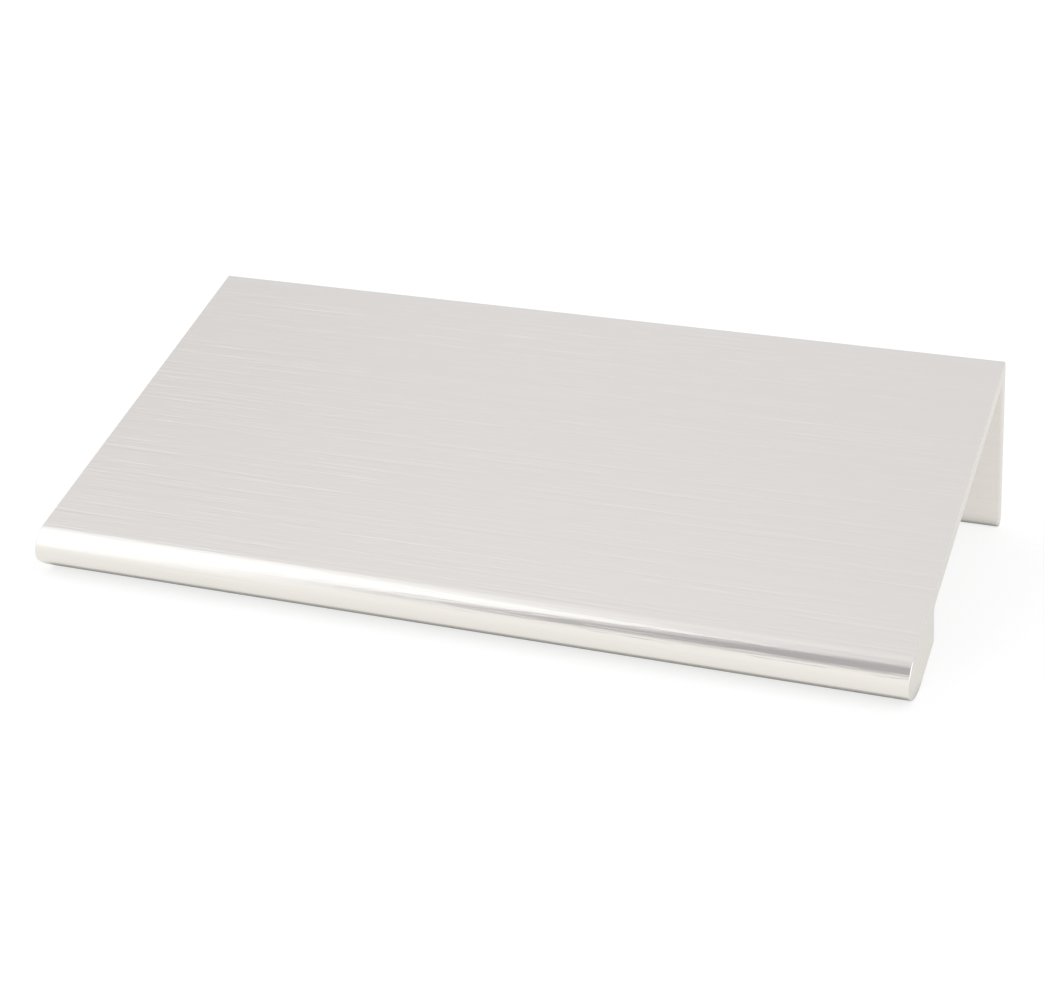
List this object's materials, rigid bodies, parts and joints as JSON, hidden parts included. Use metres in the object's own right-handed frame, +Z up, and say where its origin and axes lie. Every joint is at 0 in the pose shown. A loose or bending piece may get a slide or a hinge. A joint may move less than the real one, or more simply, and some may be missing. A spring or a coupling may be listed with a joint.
{
  "type": "finger pull profile",
  "caption": "Short extruded aluminium edge pull: flat plate with a thick rounded front lip and a square rear leg, screwed over a door or drawer edge so fingers can pull it.",
  "frame": {"origin": "on the floor under the middle of the bounding box, with the bar lying on its leg's foot and its lip", "axes": "+X along the length, +Y to the leg at the back, with the lip at the front, +Z up"},
  "size_m": [0.08, 0.0464, 0.0184],
  "materials": {
    "satin_aluminium": "brushed along the length, satin anodised"
  },
  "bodies": {
    "root": {"pull_profile": "satin_aluminium"}
  },
  "joints": []
}
